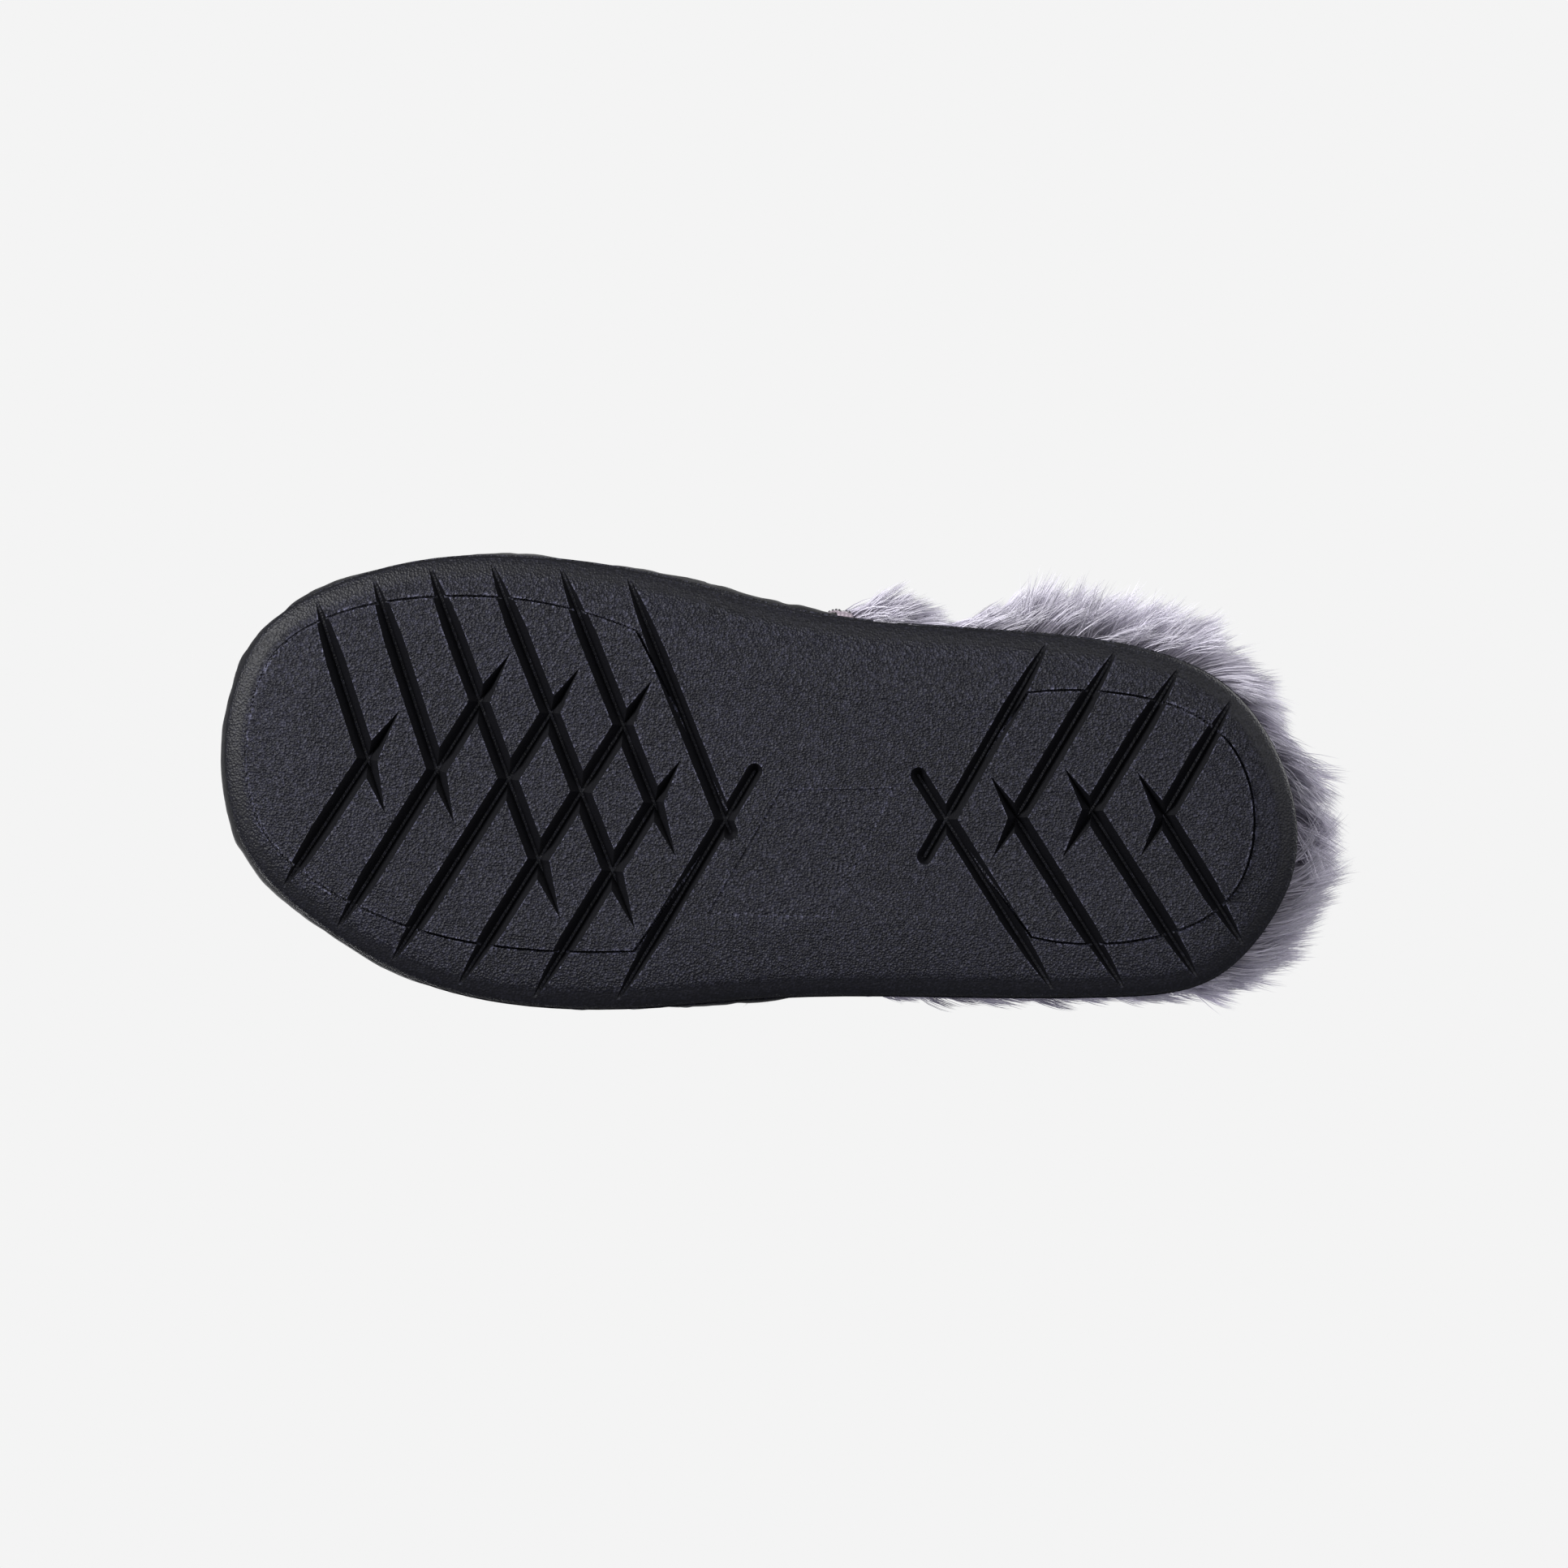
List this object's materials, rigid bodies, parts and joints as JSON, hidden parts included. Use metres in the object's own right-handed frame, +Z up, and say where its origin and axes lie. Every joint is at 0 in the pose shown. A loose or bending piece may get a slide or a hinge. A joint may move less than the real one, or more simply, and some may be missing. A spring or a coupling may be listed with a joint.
{
  "type": "fluffy house slipper",
  "caption": "Closed back house slipper for the right foot with a moulded rubber cup sole, smooth fabric vamp and long pile faux fur collar.",
  "frame": {"origin": "on the ground under the middle of the whole slipper's box", "axes": "+Y towards the toe, +X towards the outer side of the foot, +Z up"},
  "size_m": [0.1118, 0.2736, 0.0875],
  "materials": {
    "sole_rubber": "satin",
    "vamp_fabric": "matte",
    "fur_pile": "soft pile",
    "plush_lining": "soft pile",
    "binding_tape": "matte",
    "soft_foam": "matte",
    "fibre_board": "matte",
    "stiffener": "matte",
    "thread": "satin"
  },
  "bodies": {
    "root": {"outsole": "sole_rubber", "midsole_foam": "soft_foam", "insole_board": "fibre_board", "footbed_foam": "soft_foam", "sock_liner": "plush_lining", "strobel_stitches": "thread", "vamp": "vamp_fabric", "toe_puff": "stiffener", "vamp_padding": "soft_foam", "vamp_lining": "plush_lining", "heel_counter": "stiffener", "back_seam_tape": "binding_tape", "quarter_padding": "soft_foam", "collar_foam": "soft_foam", "quarter_lining": "plush_lining", "fur_quarter_medial": "fur_pile", "fur_quarter_lateral": "fur_pile", "fur_throat_cuff": "fur_pile", "side_binding_medial": "binding_tape", "side_binding_lateral": "binding_tape", "seam_stitches": "thread"}
  },
  "joints": []
}
